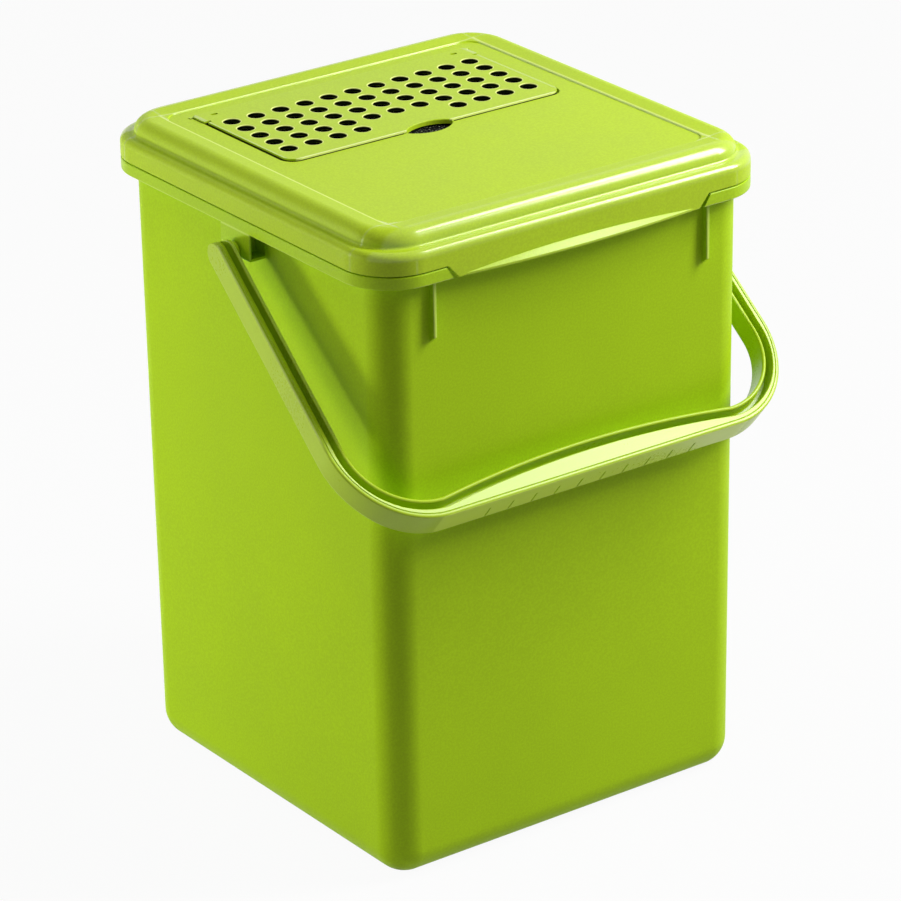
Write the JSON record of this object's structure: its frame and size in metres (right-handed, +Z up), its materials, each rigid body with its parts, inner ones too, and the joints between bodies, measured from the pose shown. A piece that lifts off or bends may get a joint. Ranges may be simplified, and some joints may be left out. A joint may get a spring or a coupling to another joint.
{
  "type": "kitchen compost caddy",
  "caption": "Square food-waste bucket with a hinged lid, a vented filter flap over a carbon pad, and a swinging bail handle that folds down in front.",
  "frame": {"origin": "centre of the bucket's flat base, on the surface that it stands on", "axes": "+Z up, -Y to the front where the lid's grip lip is, +X to the right seen from the front"},
  "size_m": [0.2198, 0.2145, 0.2811],
  "materials": {
    "bucket_plastic": "satin, very fine moulded grain",
    "lid_plastic": "satin, very fine moulded grain",
    "carbon_pad": "matt granular carbon on fibre",
    "handle_plastic": "satin, smooth"
  },
  "bodies": {
    "bucket": {"bucket": "bucket_plastic"},
    "lid": {"lid": "lid_plastic", "carbon_filter": "carbon_pad"},
    "filter_cover": {"filter_cover": "lid_plastic"},
    "handle": {"handle": "handle_plastic"}
  },
  "joints": [
    {"name": "lid_hinge", "type": "hinge", "parent": "bucket", "child": "lid", "pos_m": [0, 0.10185, 0.2615], "axis": [-1, 0, 0], "range_deg": [0, 105]},
    {"name": "filter_cover_hinge", "type": "hinge", "parent": "lid", "child": "filter_cover", "pos_m": [0, 0.0712, 0.2795], "axis": [-1, 0, 0], "range_deg": [0, 100]},
    {"name": "handle_swing", "type": "hinge", "parent": "bucket", "child": "handle", "pos_m": [0, -0.0008, 0.2506], "axis": [-1, 0, 0], "range_deg": [0, 255]}
  ]
}
